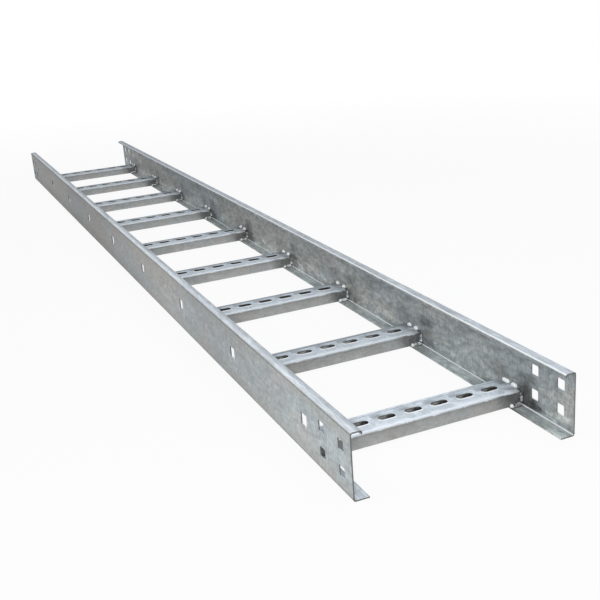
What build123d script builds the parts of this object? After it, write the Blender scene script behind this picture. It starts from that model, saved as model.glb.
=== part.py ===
from build123d import *
import os

# Cable ladder section: two folded side rails joined by welded strut rungs.
# X across the ladder, Y along it, Z up. The bottom flanges lie on Z = 0.

# Overall layout
inside_width = 350.0
rung_count = 9
rung_pitch = 300.0
end_margin = 150.0

# Side rail section
rail_height = 100.0
rail_sheet = 2.0
rail_bend = 4.0
top_flange = 18.0
top_lip = 6.0
bottom_flange = 24.0

# Punched rectangular holes at both ends of each rail
end_hole_length = 17.0
end_hole_height = 17.0
end_hole_corner = 1.5
end_hole_inset = 30.0
end_hole_spacing = 60.0
end_hole_low_row = 30.0
end_hole_row_spacing = 40.0

# Punched openings above the rung ends, left rail only
web_slot_length = 20.0
web_slot_height = 19.0
web_slot_level = 55.0

# Strut rung section, slotted face up and open side down
rung_width = 56.0
rung_height = 24.0
rung_sheet = 2.0
rung_bend = 5.0
rung_return = 12.0
rung_inturn = 7.0
cope_clearance = 0.3

# Long slots along the top of each rung
slot_count = 7
slot_pitch = 45.0
slot_length = 28.0
slot_width = 13.0

# Fillet weld beads at each rung end
side_bead_leg = 4.0
foot_bead_leg = 5.5
top_bead_leg = 5.0
top_bead_length = 14.0
top_bead_offset = 11.0
bead_clearance = 0.3

# Places worked out from the sizes above
web_face = inside_width / 2
outer_face = web_face + rail_sheet
ladder_length = 2 * end_margin + (rung_count - 1) * rung_pitch
near_end = -ladder_length / 2
seat_level = rail_sheet
rung_top = seat_level + rung_height
cope = rail_bend - rail_sheet + cope_clearance
through = 4 * rail_sheet


def rung_place(number):
    """Distance of a rung's centre line along the ladder."""
    return near_end + end_margin + (number - 1) * rung_pitch


def folded_section(corners, sheet, bends, inside_bends):
    """Face of a folded sheet whose outside corners all turn clockwise."""
    outside = [Vector(*corner) for corner in corners]
    legs = [(end - start).normalized() for start, end in zip(outside, outside[1:])]
    inward = [Vector(leg.Y, -leg.X) * sheet for leg in legs]
    inside = [outside[0] + inward[0]]
    for corner, before, after in zip(outside[1:-1], inward, inward[1:]):
        inside.append(corner + before + after)
    inside.append(outside[-1] + inward[-1])
    outer = FilletPolyline(*outside, radius=bends)
    inner = FilletPolyline(*inside, radius=inside_bends)
    caps = [Line(outer @ 0, inner @ 0), Line(outer @ 1, inner @ 1)]
    return make_face(outer.edges() + inner.edges() + [cap.edge() for cap in caps])


def web_punch(side, along, level, outline):
    """Tool that punches an outline through a rail's web."""
    centre = (side * (web_face + rail_sheet / 2), along, level)
    return extrude(Plane(centre, x_dir=(0, 1, 0), z_dir=(1, 0, 0)) * outline, through / 2, both=True)


def end_hole_punches(side):
    """Two by two holes with broken corners for splice bolts at each end of a rail."""
    outline = chamfer(Rectangle(end_hole_length, end_hole_height).vertices(), end_hole_corner)
    punches = []
    for inset in (end_hole_inset, end_hole_inset + end_hole_spacing):
        for along in (near_end + inset, -near_end - inset):
            for level in (end_hole_low_row, end_hole_low_row + end_hole_row_spacing):
                punches.append(web_punch(side, along, level, outline))
    return punches


def web_slot_punches(side):
    """One opening near mid height above each rung end."""
    outline = Rectangle(web_slot_length, web_slot_height)
    places = [rung_place(number) for number in range(1, rung_count + 1)]
    return [web_punch(side, along, web_slot_level, outline) for along in places]


def side_rail(side):
    """Folded rail: plain bottom flange, web, top flange and its lip."""
    corners = [
        (-outer_face + bottom_flange, 0),
        (-outer_face, 0),
        (-outer_face, rail_height),
        (-outer_face + top_flange, rail_height),
        (-outer_face + top_flange, rail_height - top_lip),
    ]
    section = Plane.XZ * folded_section(corners, rail_sheet, rail_bend, rail_bend - rail_sheet)
    rail = extrude(section, amount=ladder_length / 2, both=True)
    return rail if side < 0 else mirror(rail, about=Plane.YZ)


def rung_slots(along):
    """Round-ended slots in a row along the top of a rung."""
    cuts = []
    for index in range(slot_count):
        across = (index - (slot_count - 1) / 2) * slot_pitch
        outline = Pos(across, along, rung_top) * SlotOverall(slot_length, slot_width)
        cuts.append(extrude(outline, rung_sheet * 2, both=True))
    return cuts


def rung_copes(along):
    """Corner cuts that clear the bend between web and bottom flange."""
    place = web_face - cope / 2
    level = seat_level + cope / 2
    return [Pos(side * place, along, level) * Box(cope, 2 * rung_width, cope) for side in (-1, 1)]


def strut_rung(number):
    """Strut channel rung that butts on both webs and sits on the flanges."""
    along = rung_place(number)
    half = rung_width / 2
    mouth = half - rung_return
    corners = [
        (along - mouth, seat_level + rung_inturn),
        (along - mouth, seat_level),
        (along - half, seat_level),
        (along - half, rung_top),
        (along + half, rung_top),
        (along + half, seat_level),
        (along + mouth, seat_level),
        (along + mouth, seat_level + rung_inturn),
    ]
    bends = (0, 0, rung_bend, rung_bend, 0, 0)
    section = Plane.YZ * folded_section(corners, rung_sheet, bends, inside_bends=0)
    rung = extrude(section, amount=web_face, both=True)
    return rung - rung_slots(along) - rung_copes(along)


def fillet_bead(corner, leg_a, leg_b, run):
    """Flat-faced fillet bead from a corner, along two legs and along a run."""
    root = Vector(*corner)
    outline = Wire.make_polygon([root, root + Vector(*leg_a), root + Vector(*leg_b)])
    return Solid.extrude(Face(outline), Vector(*run))


def rung_end_welds(side, number):
    """Beads round one rung end, laid on the rung, the web and the flange."""
    along = rung_place(number)
    face = side * web_face
    half = rung_width / 2
    beads = []
    for offset in (-top_bead_offset, top_bead_offset):
        start = (face, along + offset - top_bead_length / 2, rung_top)
        beads.append(fillet_bead(start, (-side * top_bead_leg, 0, 0),
                                 (0, 0, top_bead_leg), (0, top_bead_length, 0)))
    side_low = seat_level + foot_bead_leg + bead_clearance
    side_high = rung_top - rung_bend
    foot_out = face - side * (bottom_flange - rail_sheet)
    foot_run = bottom_flange - rail_bend - bead_clearance
    for turn in (-1, 1):
        flank = along + turn * half
        beads.append(fillet_bead((face, flank, side_low), (-side * side_bead_leg, 0, 0),
                                 (0, turn * side_bead_leg, 0), (0, 0, side_high - side_low)))
        beads.append(fillet_bead((foot_out, flank, seat_level), (0, turn * foot_bead_leg, 0),
                                 (0, 0, foot_bead_leg), (side * foot_run, 0, 0)))
    return Compound(children=beads)


def save(shape, node):
    export_step(shape, f"parts/{node}.step")


os.makedirs("parts", exist_ok=True)
save(side_rail(-1) - end_hole_punches(-1) - web_slot_punches(-1), "rail_left")
save(side_rail(1) - end_hole_punches(1), "rail_right")
for number in range(1, rung_count + 1):
    save(strut_rung(number), f"rung_{number}")
    save(rung_end_welds(-1, number), f"weld_left_{number}")
    save(rung_end_welds(1, number), f"weld_right_{number}")
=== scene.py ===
import math
import random
import bpy
import bmesh
from mathutils import Matrix, Vector


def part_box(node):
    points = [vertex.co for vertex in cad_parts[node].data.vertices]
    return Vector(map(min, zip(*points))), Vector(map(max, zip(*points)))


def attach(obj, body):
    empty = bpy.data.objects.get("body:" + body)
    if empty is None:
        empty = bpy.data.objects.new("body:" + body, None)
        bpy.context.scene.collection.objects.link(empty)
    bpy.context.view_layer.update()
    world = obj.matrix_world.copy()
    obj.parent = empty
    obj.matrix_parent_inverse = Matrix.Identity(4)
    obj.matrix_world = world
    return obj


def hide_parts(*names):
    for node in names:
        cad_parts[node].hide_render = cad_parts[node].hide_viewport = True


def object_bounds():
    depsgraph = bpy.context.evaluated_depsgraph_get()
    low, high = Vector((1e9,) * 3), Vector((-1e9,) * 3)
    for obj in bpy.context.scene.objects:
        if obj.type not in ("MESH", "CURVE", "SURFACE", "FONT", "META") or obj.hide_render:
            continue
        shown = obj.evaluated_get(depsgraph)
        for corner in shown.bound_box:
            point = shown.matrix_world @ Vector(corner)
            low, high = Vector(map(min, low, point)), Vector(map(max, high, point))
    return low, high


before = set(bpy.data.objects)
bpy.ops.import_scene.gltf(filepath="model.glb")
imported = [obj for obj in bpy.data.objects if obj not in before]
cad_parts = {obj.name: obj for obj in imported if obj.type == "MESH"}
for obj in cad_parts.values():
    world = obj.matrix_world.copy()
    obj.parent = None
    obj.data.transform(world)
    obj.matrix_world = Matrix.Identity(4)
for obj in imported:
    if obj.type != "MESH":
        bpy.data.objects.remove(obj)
cad_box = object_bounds()

# Sizes read from the frame, in metres
LOW, HIGH = (Vector(corner) for corner in cad_box)
NEAR_END = LOW.y
RAIL_TOP = HIGH.z
RUNG_COUNT = sum(name.startswith("rung_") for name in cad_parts)
RUNG_LOW, RUNG_HIGH = (Vector(corner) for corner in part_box("rung_1"))
LAST_LOW = Vector(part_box(f"rung_{RUNG_COUNT}")[0])
RUNG_PITCH = (LAST_LOW.y - RUNG_LOW.y) / (RUNG_COUNT - 1)
RUNG_HALF = (RUNG_HIGH.y - RUNG_LOW.y) / 2
RUNG_PLACE = (RUNG_LOW.y + RUNG_HIGH.y) / 2
RUNG_TOP = RUNG_HIGH.z
SEAT = RUNG_LOW.z
WEB_FACE = RUNG_HIGH.x

# Sizes that no box shows
SIDES = {"left": -1, "right": 1}
SHEET = 0.002
FLANGE = 0.024
RAIL_BEND = 0.004
RUNG_BEND = 0.005
SLOT_PITCH = 0.045
SLOT_LENGTH = 0.028
SLOT_WIDTH = 0.013

# Weld beads at each rung end: legs, lengths and places
TOP_BEAD = 0.0053
FAR_TOP_BEAD = 0.0062
SIDE_BEAD = 0.0044
FOOT_BEAD = 0.0056
TOP_BEAD_LENGTH = 0.010
FIRST_TOP_BEAD_LENGTHS = {-1: 0.012, 1: 0.017}
TOP_BEAD_OFFSET = 0.0110
FAR_TOP_BEAD_OFFSET = 0.0142
FIRST_FAR_RUNG = 3
SIDE_BEAD_LOW = SEAT + FOOT_BEAD * 0.8
SIDE_BEAD_HIGH = RUNG_TOP - 0.0045

# Shape of a bead: ripples along it, facets across it, crown and rounded ends
RIPPLE = 0.0021
RIPPLE_DEPTH = 0.20
RIPPLE_JITTER = 0.05
STATIONS_PER_RIPPLE = 3
FEWEST_STATIONS = 8
FACETS = 6
CROWN = 0.10
ROUND_END = 0.6
END_SIZE = 0.12
SINK = 0.0004

# Colours of the rails
COOL_GREY = (0.46, 0.505, 0.52)
WARM_GREY = (0.49, 0.49, 0.475)
WORN_GREY = (0.47, 0.46, 0.43)
# Inner-web greys: darker than the outer-web greys as painted shade
SHADED_BLUE_GREY = (0.38, 0.415, 0.43)
SHADED_BROWN_GREY = (0.33, 0.34, 0.325)
# Right foot flange: greenish zinc, darker than the left foot flange as painted shade
SHADED_GREEN_GREY = (0.44, 0.48, 0.475)
# Flanges: lighter than the webs as painted light from above
LIT_PALE_BLUE = (0.50, 0.54, 0.58)
# Painted highlight on the outer part of the left top flange
FLANGE_HIGHLIGHT = (0.76, 0.80, 0.84)
# Painted highlight on the rail bends
BEND_HIGHLIGHT = (0.88, 0.90, 0.92)
# Outer webs: painted light near the near end, painted shade with a warm tint towards the far end
NEAR_LIGHT_TINT = (1.05, 1.05, 1.05)
FAR_SHADE_TINT = (0.68, 0.66, 0.645)

# Colours of the rungs
# Rung tops: lighter than the flanks as painted light from above
LIT_TOP_BLUE = (0.72, 0.78, 0.85)
LIT_TOP_GREY = (0.55, 0.61, 0.66)
# Painted highlight band along the front of the rung tops
FIRST_BAND_HIGHLIGHT = (0.76, 0.81, 0.86)
OTHER_BAND_HIGHLIGHT = (0.63, 0.68, 0.72)
# Painted highlight on the front fold of the first rung and of the others
FIRST_SHINE = (0.68, 0.72, 0.77)
OTHER_SHINE = (0.58, 0.62, 0.66)
# Painted highlight on the slot rims
RIM_HIGHLIGHT = (0.97, 0.98, 1.0)
# Painted shade at the rung ends near the webs, dark and grey in turn
END_DARK = (0.13, 0.14, 0.145)
END_GREY = (0.20, 0.205, 0.19)
# Inside of the channel: painted shade, and painted light under the slots
INSIDE_SHADE = (0.20, 0.21, 0.20)
INSIDE_LIT = (0.93, 0.95, 0.93)

# Colours of the beads, dark and pale in turn
LUMPS = (0.12, 0.13, 0.13), (0.60, 0.62, 0.62)
# Foot beads: dark as painted shade in the corner, with pale ribs
SHADED_FIRST_FOOT = (0.05, 0.055, 0.055), (0.42, 0.44, 0.44)
SHADED_OTHER_FOOT = (0.20, 0.21, 0.21), (0.75, 0.77, 0.78)
# Top beads: white as painted light
LIT_CREST = (0.80, 0.82, 0.83), (0.97, 0.98, 0.98)
# Painted highlight at the outer tip of the foot beads
TIP_HIGHLIGHT = (0.97, 0.98, 0.98)
KNOT_WHITE = (0.95, 0.96, 0.97)

# Long clouds on the outer webs: centre along the ladder, reach and brightness factor
WEB_CLOUDS = ((-0.85, 0.35, 0.86), (-0.40, 0.35, 1.10), (0.35, 0.60, 0.86))

# Dark marks round the rung ends on the inner webs, painted shade with heat stain, the one before a
# rung also a painted shadow and reflection of its flank: middle from a rung's centre line and above
# the floor, then reach
MARK_BEFORE = (-0.040, 0.012), (0.042, 0.040)
MARK_ABOVE = (-0.040, 0.050), (0.034, 0.014)
MARK_BEHIND = (0.030, 0.040), (0.050, 0.026)

# Camera worked out from the photograph's perspective: a 600 x 600 frame
IMAGE_SIZE = 600
SENSOR = 36.0
FOCAL_PIXELS = 934.0
CAMERA_TURN = math.radians(22.3)
CAMERA_DOWN = math.radians(18.8)
CAMERA_ROLL = math.radians(4.31)
CAMERA_PLACE = Vector((-0.6244, NEAR_END - 0.9605, 0.6421))
CAMERA_REACH = 50

# Floor and lights: lamps have a place, size, watts and colour, and one aim
FLOOR_REACH = 30.0
FLOOR_GREY = (0.6, 0.6, 0.6)
SKY_COLOR = (0.94, 0.97, 1.0)
SKY_STRENGTH = 0.50
LAMP_AIM = Vector((0, -1.0, 0))
LAMPS = {
    "overhead": ((0.0, -1.0, 2.4), (3.0, 2.6), 40, (0.97, 0.98, 1.0)),
    "front": ((-1.05, -3.3, 1.0), (0.7, 0.6), 26, (1.0, 0.99, 0.97)),
}


def link(obj):
    bpy.context.scene.collection.objects.link(obj)
    return obj


def camera():
    """Camera at the photograph's viewing angle."""
    forward = Vector((math.sin(CAMERA_TURN) * math.cos(CAMERA_DOWN),
                      math.cos(CAMERA_TURN) * math.cos(CAMERA_DOWN),
                      -math.sin(CAMERA_DOWN)))
    right = Vector((math.cos(CAMERA_TURN), -math.sin(CAMERA_TURN), 0))
    down = forward.cross(right)
    image_right = math.cos(CAMERA_ROLL) * right + math.sin(CAMERA_ROLL) * down
    image_down = -math.sin(CAMERA_ROLL) * right + math.cos(CAMERA_ROLL) * down
    axes = Matrix((image_right, -image_down, -forward)).transposed()
    data = bpy.data.cameras.new("camera")
    data.sensor_width = SENSOR
    data.lens = FOCAL_PIXELS * SENSOR / IMAGE_SIZE
    data.clip_end = CAMERA_REACH
    obj = link(bpy.data.objects.new("camera", data))
    obj.matrix_world = Matrix.Translation(CAMERA_PLACE) @ axes.to_4x4()
    bpy.context.scene.camera = obj


class Nodes:
    """Short hand for building the node tree of a material or the world."""

    def __init__(self, owner):
        owner.use_nodes = True
        self.owner = owner
        self.tree = owner.node_tree
        self.tree.nodes.clear()

    def put(self, value, socket):
        """Link or set an input. A colour may leave out its alpha."""
        if isinstance(value, bpy.types.NodeSocket):
            self.tree.links.new(value, socket)
        elif isinstance(value, tuple) and len(value) < len(socket.default_value):
            socket.default_value = (*value, 1.0)
        else:
            socket.default_value = value

    def node(self, kind, inputs=(), **settings):
        """Outputs of a new node whose inputs are given by name or number."""
        node = self.tree.nodes.new(kind)
        for key, value in settings.items():
            setattr(node, key, value)
        for key, value in dict(inputs).items():
            self.put(value, node.inputs[key])
        return node.outputs

    def math(self, operation, *values):
        return self.node("ShaderNodeMath", enumerate(values), operation=operation)["Value"]

    def plus(self, a, b):
        return self.math("ADD", a, b)

    def less(self, a, b):
        return self.math("SUBTRACT", a, b)

    def by(self, a, b):
        return self.math("MULTIPLY", a, b)

    def size(self, value):
        return self.math("ABSOLUTE", value)

    def length(self, a, b):
        """Distance with two components at right angles."""
        return self.math("SQRT", self.plus(self.by(a, a), self.by(b, b)))

    def wrap(self, value, low, high):
        return self.math("WRAP", value, high, low)

    def step(self, value, low, high, start=0.0, end=1.0):
        """Smooth step of a value from one level to another."""
        return self.node("ShaderNodeMapRange", enumerate((value, low, high, start, end)),
                         interpolation_type="SMOOTHSTEP")["Result"]

    def band(self, value, centre, reach):
        """One at a centre value, falling smoothly to nothing at its reach."""
        return self.step(self.size(self.less(value, centre)), reach, 0.0)

    def mix(self, factor, a, b, blend="MIX"):
        return self.node("ShaderNodeMix", {0: factor, 6: a, 7: b}, data_type="RGBA",
                         blend_type=blend)[2]

    def mix_shaders(self, factor, a, b):
        return self.node("ShaderNodeMixShader", enumerate((factor, a, b)))[0]

    def shade(self, color, factor):
        """Colour times a grey factor that may pass one."""
        return self.node("ShaderNodeVectorMath", {0: color, "Scale": factor},
                         operation="SCALE")["Vector"]


class Zinc(Nodes):
    """Hot-dip zinc: patterns, masks and colour changes that the materials share."""

    def __init__(self, name, streak_axis, cloud_axis, metallic=0.30):
        super().__init__(bpy.data.materials.new(name))
        self.metallic = metallic
        coordinates = self.node("ShaderNodeTexCoord")
        self.place = coordinates["Object"]
        self.x, self.y, self.z = self.node("ShaderNodeSeparateXYZ", {0: self.place})
        self.nx, self.ny, self.nz = self.node("ShaderNodeSeparateXYZ", {0: coordinates["Normal"]})
        self.mottle = self.noise(cloud_axis, 130, 5, 0.65, 0.5)
        self.patches = self.noise(cloud_axis, 32, 5, 0.62, 0.8)
        self.clouds = self.noise(cloud_axis, 9, 4, 0.55, 0.4)
        self.streaks = self.fine_streaks(streak_axis)
        self.first = self.step(self.y, RUNG_PLACE + RUNG_PITCH * 0.6, RUNG_PLACE + RUNG_PITCH * 0.4)

    def noise(self, axis, scale, detail, rough, twist=0.0):
        """Noise that is drawn out along the axes with a small scale."""
        drawn = self.node("ShaderNodeMapping", {"Vector": self.place, "Scale": axis})["Vector"]
        return self.node("ShaderNodeTexNoise", {"Vector": drawn, "Scale": scale, "Detail": detail,
                                                "Roughness": rough, "Distortion": twist})["Fac"]

    def fine_streaks(self, axis):
        return self.noise(axis, 380, 3, 0.65)

    def sheet(self):
        """Cool and warm grey clouds with fine mottling."""
        tint = self.mix(self.step(self.clouds, 0.38, 0.62), COOL_GREY, WARM_GREY)
        return self.swing(self.swing(tint, self.patches, 0.15), self.mottle, 0.14)

    def from_rung(self):
        """Distance along the ladder from the nearest rung's centre line."""
        along = self.less(self.y, RUNG_PLACE - RUNG_PITCH / 2)
        return self.less(self.wrap(along, 0.0, RUNG_PITCH), RUNG_PITCH / 2)

    def facing(self, component):
        """One on faces that look along an axis, none on the others."""
        return self.step(component, 0.55, 0.95)

    def bend(self, a, b, start=0.25):
        """One in the middle of a bend between two facings, none on flat sheet."""
        return self.step(self.size(self.by(self.by(a, b), 2.0)), start, 0.9)

    def overlap(self, *masks):
        """Share where all masks are one."""
        share = masks[0]
        for mask in masks[1:]:
            share = self.by(share, mask)
        return share

    def swing(self, color, noise, amount):
        """Colour whose brightness a noise swings up and down by an amount."""
        return self.shade(color, self.step(noise, 0.34, 0.66, 1 - amount, 1 + amount))

    def times(self, color, mask, factor):
        """Colour taken to a factor of itself where a mask is one."""
        return self.shade(color, self.step(mask, 0.0, 1.0, 1.0, factor))

    def wander(self, amount):
        """Offset that makes the edge of a mask ragged."""
        return self.by(self.less(self.patches, 0.5), amount)

    def spot(self, values, middle, reach, ragged=0.07):
        """Ragged spot: one where two values are at its middle, none outside its reach."""
        across, up = (self.math("DIVIDE", self.less(value, centre), extent)
                      for value, centre, extent in zip(values, middle, reach))
        distance = self.plus(self.length(across, up), self.wander(ragged / reach[0]))
        return self.step(distance, 1.1, 0.15)

    def done(self, color):
        """Finished material: a colour with the zinc's own skin and gloss."""
        skin = self.plus(self.by(self.streaks, 0.4), self.mottle)
        bump = self.node("ShaderNodeBump", {"Height": skin, "Strength": 0.3, "Distance": 0.0010})
        shader = self.node("ShaderNodeBsdfPrincipled", {
            "Base Color": color,
            "Roughness": self.step(self.patches, 0.3, 0.7, 0.42, 0.58),
            "Normal": bump["Normal"],
            "Metallic": self.metallic,
            "Specular IOR Level": 0.3,
        })
        self.node("ShaderNodeOutputMaterial", {"Surface": shader["BSDF"]})
        return self.owner


def outer_web(zinc):
    """Outer face of a web: worn along its edges, clouded, with painted shade darker to the far end
    and painted shade lines at the bends.
    """
    sheet = zinc.sheet()
    rim = zinc.plus(zinc.size(zinc.less(zinc.z, RAIL_TOP / 2)), zinc.wander(0.06))
    worn = zinc.mix(0.5, zinc.shade(sheet, 0.93), WORN_GREY)
    color = zinc.swing(zinc.mix(zinc.step(rim, 0.024, 0.046), sheet, worn), zinc.streaks, 0.12)
    # Painted shade: the outer face darkens from the near end to the far end
    light_falloff = zinc.step(zinc.y, NEAR_END * 0.85, -NEAR_END * 0.25)
    color = zinc.mix(1.0, color, zinc.mix(light_falloff, NEAR_LIGHT_TINT, FAR_SHADE_TINT), blend="MULTIPLY")
    for place, reach, factor in WEB_CLOUDS:
        color = zinc.times(color, zinc.band(zinc.y, place, reach), factor)
    # Painted shade: the lower half darker towards the far end
    color = zinc.times(color, zinc.overlap(light_falloff, zinc.step(zinc.z, RAIL_TOP / 2, 0.0)), 0.86)
    # Painted shade: dark lines along the top and bottom bends of the outer face
    for level in (RAIL_TOP - RAIL_BEND * 0.65, RAIL_BEND * 1.1):
        color = zinc.times(color, zinc.band(zinc.z, level, 0.0014), 0.62)
    return color


def inner_web(zinc, along):
    """Inner face of a web: blue-grey and brown-grey clouds darker than the outer face as painted
    shade, lighter to the near end as painted light, dark round the rung ends with painted shade and
    heat stain.
    """
    blend = zinc.plus(zinc.by(zinc.clouds, 0.6), zinc.by(zinc.patches, 0.4))
    # Painted shade: the inner face is darker than the outer face
    color = zinc.mix(zinc.step(blend, 0.44, 0.56), SHADED_BLUE_GREY, SHADED_BROWN_GREY)
    for noise, amount in ((zinc.clouds, 0.18), (zinc.mottle, 0.24), (zinc.streaks, 0.15)):
        color = zinc.swing(color, noise, amount)
    # Painted light: lighter towards the near end
    color = zinc.shade(color, zinc.step(zinc.y, NEAR_END * 0.3, -NEAR_END * 0.7, 1.11, 1.02))
    low = zinc.overlap(zinc.step(zinc.z, 0.048, 0.008), zinc.step(zinc.patches, 0.44, 0.58))
    # Painted shade and heat stain round the rung ends; the mark before a rung is also a painted
    # shadow and reflection of the rung's flank
    before, above, behind = (zinc.spot((along, zinc.z), *mark)
                             for mark in (MARK_BEFORE, MARK_ABOVE, MARK_BEHIND))
    # Painted shade in the crease along the outer edges of the side beads
    outline = zinc.overlap(zinc.band(zinc.size(along), RUNG_HALF + 0.0052, 0.0024),
                           zinc.step(zinc.z, RUNG_TOP + 0.002, RUNG_TOP - 0.003))
    for mask, factor in ((low, 1.6), (before, 0.5), (zinc.overlap(before, zinc.first), 0.4),
                         (above, 0.60), (behind, 0.72), (outline, 0.35)):
        color = zinc.times(color, mask, factor)
    return color


def lit_pale_flange(zinc, lengthwise):
    """Flange: pale blue, lighter than the webs as painted light, streaked along the rail, with
    painted shade a little darker to the far end.
    """
    color = LIT_PALE_BLUE
    for noise, amount in ((lengthwise, 0.14), (zinc.mottle, 0.08), (zinc.patches, 0.12)):
        color = zinc.swing(color, noise, amount)
    # Painted shade: a little darker towards the far end
    return zinc.shade(color, zinc.step(zinc.y, NEAR_END, NEAR_END * 0.4, 1.0, 0.92))


def highlight_band(zinc, flange, lengthwise):
    """Flange with a streaked painted highlight band over its outer part."""
    outside = zinc.step(zinc.size(zinc.x), WEB_FACE - 0.010, WEB_FACE - 0.004)
    share = zinc.overlap(outside, zinc.step(zinc.clouds, 0.40, 0.56, 0.60, 0.95))
    return zinc.mix(share, flange, zinc.swing(FLANGE_HIGHLIGHT, lengthwise, 0.15))


def foot_shadows(zinc, foot, along):
    """Bottom flange with a painted shadow of each rung before it and painted shade lines beside the
    rung feet.
    """
    # Painted shadow of the rung on the flange, and painted shade in the crease beside the foot beads
    rung_shadow = zinc.band(along, -0.045, 0.038)
    toe_shade = zinc.band(zinc.size(along), RUNG_HALF + 0.0065, 0.0035)
    color = zinc.times(zinc.swing(foot, zinc.patches, 0.20), rung_shadow, 0.78)
    return zinc.times(color, toe_shade, 0.35)


def rail_zinc(name, side):
    """Rail: clouded webs, flanges lighter than the webs as painted light, painted highlights on the
    bends and dark cut ends.
    """
    zinc = Zinc(name, (1, 1, 0.3), (1, 0.42, 1))
    along = zinc.from_rung()
    lengthwise = zinc.fine_streaks((1, 0.08, 1))
    webs = zinc.mix(zinc.facing(zinc.by(zinc.nx, -side)), outer_web(zinc), inner_web(zinc, along))
    upper = zinc.step(zinc.z, 0.05, 0.06)
    # Painted highlight on the bends that face upwards
    glint = zinc.overlap(zinc.bend(zinc.nx, zinc.nz, zinc.step(upper, 0.0, 1.0, 0.2, 0.7)),
                         zinc.step(zinc.nz, 0.0, 0.1))
    flange = lit_pale_flange(zinc, lengthwise)
    if side < 0:
        foot = zinc.shade(flange, 1.06)
        flange = highlight_band(zinc, flange, lengthwise)
        glint = zinc.overlap(glint, zinc.less(1.0, upper))
    else:
        # Right foot flange: greenish, and darker than the left one as painted shade
        green = zinc.swing(zinc.swing(SHADED_GREEN_GREY, lengthwise, 0.14), zinc.mottle, 0.20)
        foot = zinc.shade(green, 1.05)
    flanges = zinc.mix(upper, foot_shadows(zinc, foot, along), flange)
    color = zinc.mix(glint, zinc.mix(zinc.facing(zinc.nz), webs, flanges), BEND_HIGHLIGHT)
    return zinc.done(zinc.times(color, zinc.size(zinc.ny), 0.32))


def rung_top(zinc, along, turns):
    """Pale bluish top, lighter than the flanks as painted light, with a painted shade line at the
    fold, a ragged painted highlight band along the front and painted highlights on the slot rims.
    """
    # Painted light: the top is lighter than the flanks
    color = zinc.mix(zinc.step(zinc.patches, 0.36, 0.60), LIT_TOP_BLUE, LIT_TOP_GREY)
    color = zinc.swing(zinc.swing(color, zinc.mottle, 0.09), zinc.streaks, 0.07)
    # Painted shade: tops of the rungs past the first are darker, and darker again behind the fold
    far_rung_shade = zinc.swing(zinc.shade(color, 0.85), zinc.patches, 0.14)
    back = zinc.step(along, RUNG_HALF - 0.014, RUNG_HALF - 0.010)
    color = zinc.mix(zinc.first, zinc.times(far_rung_shade, back, 0.68), color)
    phase = zinc.wrap(zinc.x, -SLOT_PITCH / 2, SLOT_PITCH / 2)
    beside = zinc.spot((phase, along), (-0.012, 0.009), (0.018, 0.010), 0.03)
    color = zinc.times(color, beside, 0.64)
    # Painted shade line along the fold
    color = zinc.times(color, zinc.band(along, RUNG_HALF - 0.0098, 0.0024), 0.66)
    # Painted highlight: a ragged bright band along the front
    ragged = zinc.plus(zinc.plus(along, zinc.wander(0.07)), zinc.by(turns, 0.0050))
    band = zinc.mix(zinc.first, OTHER_BAND_HIGHLIGHT, FIRST_BAND_HIGHLIGHT)
    color = zinc.mix(zinc.step(ragged, -0.020, -0.024), color, band)
    # Painted highlight round the front of each slot
    straight = (SLOT_LENGTH - SLOT_WIDTH) / 2
    past = zinc.math("MAXIMUM", zinc.less(zinc.size(phase), straight), 0.0)
    rim = zinc.step(zinc.length(past, along), SLOT_WIDTH / 2 + 0.0036, SLOT_WIDTH / 2 + 0.0022)
    front = zinc.step(zinc.plus(along, zinc.by(phase, 0.15)), -0.0035, -0.0055)
    return zinc.mix(zinc.overlap(rim, front), color, RIM_HIGHLIGHT)


def rung_flank(zinc, worn):
    """Warm grey flank, darker than the top as painted shade, with a painted shade line under the
    bend, painted shade at the ends near the web and painted light on the nearer rungs.
    """
    # Painted shade: the flank is darker than the top
    color = zinc.shade(zinc.mix(0.5, zinc.sheet(), WARM_GREY), 0.74)
    color = zinc.swing(color, zinc.streaks, 0.07)
    color = zinc.shade(color, zinc.step(zinc.z, SEAT, RUNG_TOP - RUNG_BEND, 1.08, 0.92))
    # Painted shade line under the bend
    color = zinc.times(color, zinc.band(zinc.z, RUNG_TOP - 0.0058, 0.0016), 0.82)
    # Painted shade at the ends where the rung meets the web
    dark = zinc.mix(zinc.step(zinc.mottle, 0.4, 0.6), END_DARK, END_GREY)
    color = zinc.mix(zinc.step(worn, WEB_FACE - 0.040, WEB_FACE - 0.006), color, dark)
    # Painted light: flanks of the nearer rungs are brighter
    return zinc.times(color, zinc.step(zinc.y, NEAR_END * 0.6, NEAR_END * 0.3), 1.10)


def rung_inside(zinc, turns):
    """Inside of the channel: painted shade, with painted light under the slots of the nearer rungs.
    """
    lit = zinc.overlap(zinc.step(zinc.y, NEAR_END * 0.4, NEAR_END * 0.7),
                       zinc.step(turns, -0.8, 0.3))
    return zinc.mix(lit, INSIDE_SHADE, INSIDE_LIT)


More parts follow.
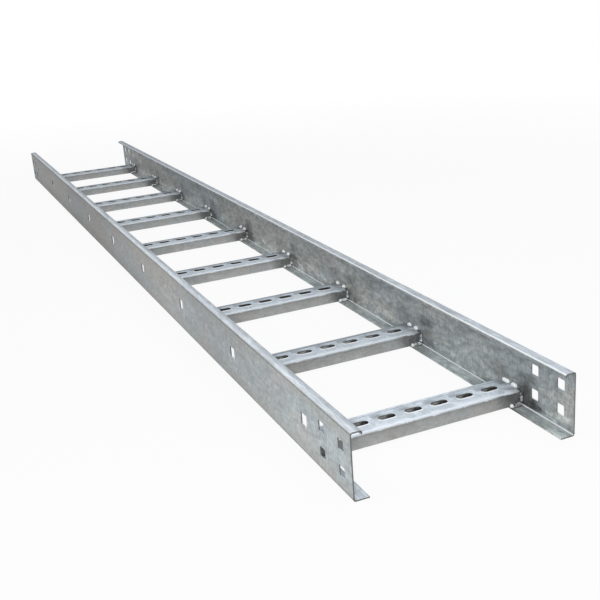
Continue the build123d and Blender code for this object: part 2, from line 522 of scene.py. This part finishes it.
def rung_zinc():
    """Rung: slotted top lighter as painted light, a scalloped painted highlight on the front bend,
    warm grey flanks, painted shade in the slot walls, on the back bend and near the webs, dark ends.
    """
    zinc = Zinc("rung_zinc", (0.2, 1, 1), (1, 1, 1))
    along = zinc.from_rung()
    aside = zinc.size(along)
    reach = zinc.size(zinc.x)
    # Distance across the ladder, made ragged by patches, for the painted shade near the webs
    worn = zinc.plus(reach, zinc.by(zinc.patches, 0.03))
    turns = zinc.math("COSINE", zinc.by(zinc.x, math.tau / SLOT_PITCH))
    inside = zinc.step(aside, RUNG_HALF - 0.0008, RUNG_HALF - 0.0014)
    sides = zinc.mix(inside, rung_flank(zinc, worn), rung_inside(zinc, turns))
    # Painted shade on the slot walls
    slot_wall = zinc.overlap(zinc.step(aside, SLOT_WIDTH / 2 + 0.0006, SLOT_WIDTH / 2),
                             zinc.step(zinc.z, RUNG_TOP - SHEET - 0.0004, RUNG_TOP - SHEET))
    sides = zinc.times(sides, slot_wall, 0.2)
    # Painted shade on the top near the web, where the rung meets it
    near_web = zinc.step(worn, WEB_FACE - 0.012, WEB_FACE + 0.012)
    top = zinc.times(rung_top(zinc, along, turns), near_web, 0.66)
    scallops = zinc.plus(zinc.by(turns, -0.18), zinc.less(zinc.mottle, 0.5))
    color = zinc.mix(zinc.step(zinc.plus(zinc.nz, scallops), 0.40, 0.56), sides, top)
    fold = zinc.overlap(zinc.bend(zinc.ny, zinc.nz), zinc.step(zinc.nz, 0.3, 0.5))
    # Painted highlight on the front fold, away from the webs
    front = zinc.overlap(fold, zinc.step(zinc.ny, 0.0, -0.1),
                         zinc.step(worn, WEB_FACE - 0.020, WEB_FACE - 0.045))
    color = zinc.mix(front, color, zinc.mix(zinc.first, OTHER_SHINE, FIRST_SHINE))
    # Painted shade on the back fold
    color = zinc.times(color, zinc.overlap(fold, zinc.step(zinc.ny, 0.0, 0.1)), 0.55)
    # Painted shadow in the front corner at the web
    corner = zinc.spot((reach, along), (WEB_FACE, -0.024), (0.008, 0.007), 0.01)
    color = zinc.times(color, corner, 0.15)
    return zinc.done(zinc.times(color, zinc.facing(zinc.size(zinc.nx)), 0.55))


def weld_zinc():
    """Weld bead: white on top of the rung as painted light, grey on its flank, dark and ribbed at the
    foot as painted shade, with a painted highlight at the tip of the foot.
    """
    zinc = Zinc("weld_zinc", (1, 1, 1), (1, 1, 1), metallic=0.05)
    reach = zinc.size(zinc.x)
    lumps = zinc.times(zinc.mix(zinc.step(zinc.mottle, 0.42, 0.58), *LUMPS), zinc.first, 0.75)
    ribs = zinc.step(zinc.mottle, 0.44, 0.58)
    # Painted shade: dark foot beads
    foot = zinc.mix(zinc.first, zinc.mix(ribs, *SHADED_OTHER_FOOT), zinc.mix(ribs, *SHADED_FIRST_FOOT))
    crest = zinc.mix(zinc.step(zinc.mottle, 0.32, 0.42), *LIT_CREST)
    foot_top = SEAT + FOOT_BEAD
    color = zinc.mix(zinc.step(zinc.z, foot_top, foot_top + 0.001), foot, lumps)
    # Painted light: white beads on top of the rung
    color = zinc.mix(zinc.step(zinc.z, RUNG_TOP - 0.0006, RUNG_TOP), color, crest)
    edge = WEB_FACE - FLANGE
    # Painted highlight at the outer tip of the foot bead
    color = zinc.mix(zinc.step(reach, edge + 0.0066, edge + 0.0050), color, TIP_HIGHLIGHT)
    knot = zinc.spot((reach, zinc.z), (WEB_FACE - 0.002, SEAT + 0.005), (0.007, 0.007), 0.001)
    knot = zinc.overlap(knot, zinc.less(1.0, zinc.first))
    return zinc.done(zinc.mix(knot, color, KNOT_WHITE))


def paint(node, material):
    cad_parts[node].material_slots[0].material = material


def bead(mesh, root, leg_a, leg_b, run, seed):
    """Rippled fillet bead swept along a run, with rounded ends."""
    dice = random.Random(seed)
    length = run.length
    stations = max(FEWEST_STATIONS, round(length / RIPPLE * STATIONS_PER_RIPPLE))
    phase = dice.uniform(0, math.pi)
    sink = -(leg_a.normalized() + leg_b.normalized()) * SINK
    rings = []
    for index in range(stations + 1):
        share = index / stations
        end = min(share, 1 - share) * length / (ROUND_END * leg_a.length)
        swell = math.sqrt(min(1.0, END_SIZE + end))
        wave = abs(math.sin(math.pi * share * length / RIPPLE / 2 + phase))
        ripple = 1 - RIPPLE_DEPTH + RIPPLE_DEPTH * wave
        size = swell * (ripple + dice.uniform(-RIPPLE_JITTER, RIPPLE_JITTER))
        centre = root + run * share
        ring = [mesh.verts.new(centre + sink)]
        for facet in range(FACETS + 1):
            angle = math.pi / 2 * facet / FACETS
            crown = 1 + CROWN * math.sin(2 * angle)
            offset = (leg_a * math.cos(angle) + leg_b * math.sin(angle)) * size * crown
            edge_sink = sink if facet in (0, FACETS) else Vector()
            ring.append(mesh.verts.new(centre + offset + edge_sink))
        rings.append(ring)
    for before, after in zip(rings, rings[1:]):
        for index in range(len(before)):
            follow = (index + 1) % len(before)
            mesh.faces.new((before[index], before[follow], after[follow], after[index]))
    mesh.faces.new(rings[0])
    mesh.faces.new(reversed(rings[-1]))


def end_welds(side_name, side, number, material):
    """All beads round one rung end, in place of the plain ones."""
    along = RUNG_PLACE + (number - 1) * RUNG_PITCH
    face = side * WEB_FACE
    inward = Vector((-side, 0, 0))
    up = Vector((0, 0, 1))
    seed = 100 * number + (50 if side > 0 else 0)
    far = number >= FIRST_FAR_RUNG
    top_leg = FAR_TOP_BEAD if far else TOP_BEAD
    top_offset = FAR_TOP_BEAD_OFFSET if far else TOP_BEAD_OFFSET
    foot_run = FLANGE - SHEET
    mesh = bmesh.new()
    for turn in (-1, 1):
        length = FIRST_TOP_BEAD_LENGTHS[turn] if number == 1 else TOP_BEAD_LENGTH
        start = Vector((face, along + turn * top_offset - length / 2, RUNG_TOP))
        bead(mesh, start, inward * top_leg, up * top_leg, Vector((0, length, 0)), seed + turn)
        flank = along + turn * RUNG_HALF
        out = Vector((0, turn, 0))
        bead(mesh, Vector((face, flank, SIDE_BEAD_LOW)), inward * SIDE_BEAD, out * SIDE_BEAD,
             up * (SIDE_BEAD_HIGH - SIDE_BEAD_LOW), seed + 10 + turn)
        tip = Vector((face, flank, SEAT)) + inward * foot_run
        bead(mesh, tip, out * FOOT_BEAD, up * FOOT_BEAD,
             -inward * (foot_run - RAIL_BEND / 2), seed + 20 + turn)
    bmesh.ops.recalc_face_normals(mesh, faces=mesh.faces)
    name = f"bead_{side_name}_{number}"
    data = bpy.data.meshes.new(name)
    mesh.to_mesh(data)
    mesh.free()
    for polygon in data.polygons:
        polygon.use_smooth = True
    data.materials.append(material)
    piece = link(bpy.data.objects.new(name, data))
    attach(piece, "root")
    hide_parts(f"weld_{side_name}_{number}")


def floor():
    """White floor that goes on past the view and keeps a soft shadow."""
    mesh = bpy.data.meshes.new("floor")
    corners = [(x * FLOOR_REACH, y * FLOOR_REACH, 0) for x, y in ((-1, -1), (1, -1), (1, 1), (-1, 1))]
    mesh.from_pydata(corners, [], [(0, 1, 2, 3)])
    obj = link(bpy.data.objects.new("floor", mesh))
    white = Nodes(bpy.data.materials.new("floor_white"))
    rays = white.node("ShaderNodeLightPath")
    seen = white.math("MAXIMUM", rays["Is Camera Ray"], rays["Is Glossy Ray"])
    place = white.node("ShaderNodeTexCoord")["Object"]
    away = white.node("ShaderNodeVectorMath", {0: place}, operation="LENGTH")["Value"]
    share = white.by(seen, white.step(away, 0.8, 3.5, 0.92, 1.0))
    diffuse = white.node("ShaderNodeBsdfDiffuse", {"Color": FLOOR_GREY})[0]
    surface = white.mix_shaders(share, diffuse, white.node("ShaderNodeEmission")[0])
    white.node("ShaderNodeOutputMaterial", {"Surface": surface})
    mesh.materials.append(white.owner)


def sky():
    """Soft even light from all round, with a white background."""
    bpy.context.scene.world = bpy.data.worlds.new("studio")
    world = Nodes(bpy.context.scene.world)
    seen = world.node("ShaderNodeLightPath")["Is Camera Ray"]
    soft = world.node("ShaderNodeBackground", {"Color": SKY_COLOR, "Strength": SKY_STRENGTH})[0]
    white = world.node("ShaderNodeBackground", {"Color": (1, 1, 1)})[0]
    surface = world.mix_shaders(seen, soft, white)
    world.node("ShaderNodeOutputWorld", {"Surface": surface})


def area_lamp(name, place, size, watts, color):
    data = bpy.data.lights.new(name, "AREA")
    data.shape = "RECTANGLE"
    data.size, data.size_y = size
    data.energy = watts
    data.color = color
    obj = link(bpy.data.objects.new(name, data))
    obj.location = place
    obj.rotation_euler = (LAMP_AIM - Vector(place)).to_track_quat("-Z", "Y").to_euler()


WELD_ZINC = weld_zinc()
RUNG_ZINC = rung_zinc()
for side_name, side in SIDES.items():
    paint(f"rail_{side_name}", rail_zinc(f"rail_{side_name}_zinc", side))
for number in range(1, RUNG_COUNT + 1):
    paint(f"rung_{number}", RUNG_ZINC)
    for side_name, side in SIDES.items():
        end_welds(side_name, side, number, WELD_ZINC)

bpy.context.scene.view_settings.view_transform = "Standard"
camera()
floor()
sky()
for name, settings in LAMPS.items():
    area_lamp(name, *settings)
